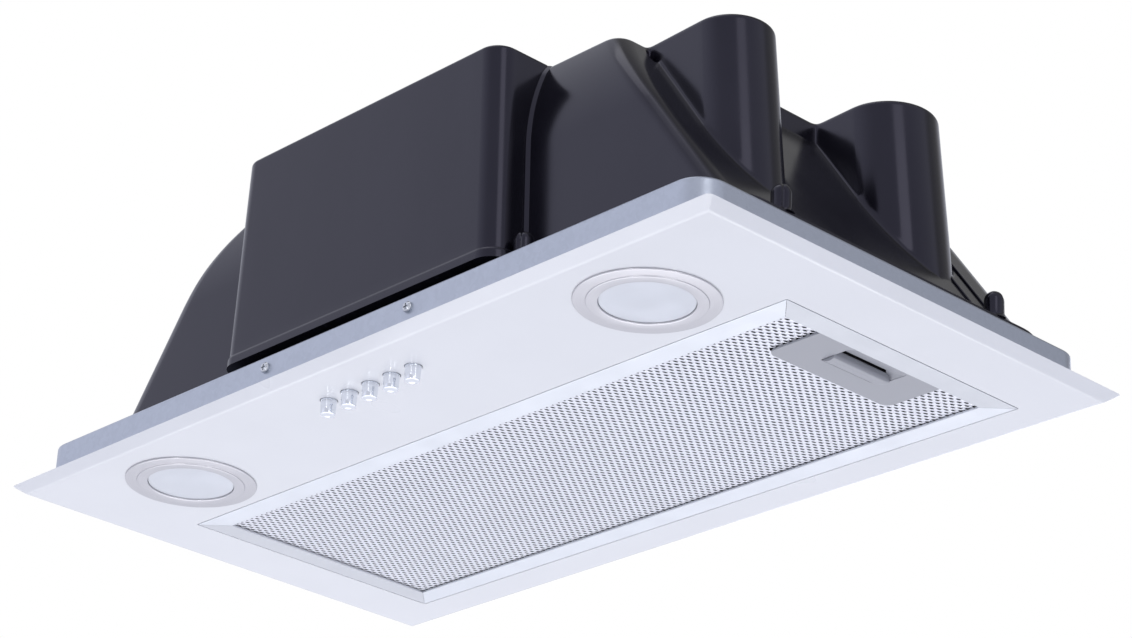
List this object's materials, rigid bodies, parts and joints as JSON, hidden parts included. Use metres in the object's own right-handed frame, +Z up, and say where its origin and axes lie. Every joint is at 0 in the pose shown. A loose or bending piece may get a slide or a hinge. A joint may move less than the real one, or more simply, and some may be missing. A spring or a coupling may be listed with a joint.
{
  "type": "built-in range hood",
  "caption": "Built-in range hood: glossy white bevelled panel with grease filter, lamps and push buttons, galvanised frame, black blower housing with twin towers, round outlet.",
  "frame": {"origin": "middle of the cabinet cut-out, in the plane of the cabinet's underside where the panel's rim seats", "axes": "+X along the long side, -Y towards the user, +Z up to the outlet"},
  "size_m": [0.525, 0.29, 0.1972],
  "materials": {
    "white_panel": "high gloss enamel",
    "galvanised": "dull spangled zinc",
    "chrome": "polished",
    "satin_steel": "satin with a polished rim",
    "lens": "frosted",
    "bright_aluminium": "anodised satin",
    "mesh_aluminium": "bright expanded mesh",
    "grey_plastic": "satin",
    "black_plastic": "semi-gloss",
    "dark_plastic": "fine texture",
    "zinc_screw": "zinc plated",
    "board": "solder mask",
    "terminal_plastic": "moulded",
    "film_capacitor": "moulded",
    "motor_steel": "dull",
    "shaft_steel": "ground",
    "bronze": "sintered",
    "rubber": "matte"
  },
  "bodies": {
    "hood": {"fascia_panel": "white_panel", "mounting_frame": "galvanised", "fascia_brackets": "galvanised", "frame_screws": "zinc_screw", "switch_bracket": "galvanised", "switch_module": "dark_plastic", "lamp_bezel_left": "satin_steel", "lamp_bezel_right": "satin_steel", "lamp_lens_left": "lens", "lamp_lens_right": "lens", "lamp_body_left": "dark_plastic", "lamp_body_right": "dark_plastic", "lamp_clips_left": "shaft_steel", "lamp_clips_right": "shaft_steel", "hinge_brackets": "galvanised", "blower_housing": "black_plastic", "housing_screws": "zinc_screw", "control_box": "black_plastic", "cover_screws": "zinc_screw", "control_board": "board", "terminal_block": "terminal_plastic", "capacitor": "film_capacitor", "cable_gland": "dark_plastic", "outlet_collar": "dark_plastic", "collar_screws": "zinc_screw", "flap_pin": "shaft_steel", "scroll_casing": "dark_plastic", "scroll_screws": "zinc_screw", "inlet_ring": "dark_plastic", "motor": "motor_steel", "motor_bearings": "bronze", "motor_bracket": "galvanised", "motor_grommets": "rubber", "motor_screws": "zinc_screw"},
    "button_1_body": {"button_1": "chrome"},
    "button_2_body": {"button_2": "chrome"},
    "button_3_body": {"button_3": "chrome"},
    "button_4_body": {"button_4": "chrome"},
    "button_5_body": {"button_5": "chrome"},
    "rotor": {"impeller": "dark_plastic", "impeller_nut": "zinc_screw", "motor_shaft": "shaft_steel"},
    "filter": {"filter_frame": "bright_aluminium", "filter_mesh": "mesh_aluminium", "filter_pins": "shaft_steel", "latch_plate": "grey_plastic"},
    "latch": {"latch_slider": "grey_plastic"},
    "left_flap": {"flap_left": "dark_plastic"},
    "right_flap": {"flap_right": "dark_plastic"}
  },
  "joints": [
    {"name": "button_1_press", "type": "slide", "parent": "hood", "child": "button_1_body", "axis": [0, 0, 1], "range_m": [0, 0.003], "stiffness_N_per_m": 700, "springref_m": -0.001},
    {"name": "button_2_press", "type": "slide", "parent": "hood", "child": "button_2_body", "axis": [0, 0, 1], "range_m": [0, 0.003], "stiffness_N_per_m": 700, "springref_m": -0.001},
    {"name": "button_3_press", "type": "slide", "parent": "hood", "child": "button_3_body", "axis": [0, 0, 1], "range_m": [0, 0.003], "stiffness_N_per_m": 700, "springref_m": -0.001},
    {"name": "button_4_press", "type": "slide", "parent": "hood", "child": "button_4_body", "axis": [0, 0, 1], "range_m": [0, 0.003], "stiffness_N_per_m": 700, "springref_m": -0.001},
    {"name": "button_5_press", "type": "slide", "parent": "hood", "child": "button_5_body", "axis": [0, 0, 1], "range_m": [0, 0.003], "stiffness_N_per_m": 700, "springref_m": -0.001},
    {"name": "filter_hinge", "type": "hinge", "parent": "hood", "child": "filter", "pos_m": [-0.212, 0.03365, -0.0014], "axis": [0, 1, 0], "range_deg": [0, 80]},
    {"name": "latch_slide", "type": "slide", "parent": "filter", "child": "latch", "axis": [-1, 0, 0], "range_m": [0, 0.004], "stiffness_N_per_m": 400, "springref_m": -0.002},
    {"name": "impeller_spin", "type": "hinge", "parent": "hood", "child": "rotor", "pos_m": [0.07, 0, 0.09], "axis": [0, 0, 1], "continuous": true},
    {"name": "left_flap_hinge", "type": "hinge", "parent": "hood", "child": "left_flap", "pos_m": [-0.05, 0, 0.148], "axis": [0, 1, 0], "range_deg": [0, 75]},
    {"name": "right_flap_hinge", "type": "hinge", "parent": "hood", "child": "right_flap", "pos_m": [-0.05, 0, 0.148], "axis": [0, -1, 0], "range_deg": [0, 75]}
  ]
}
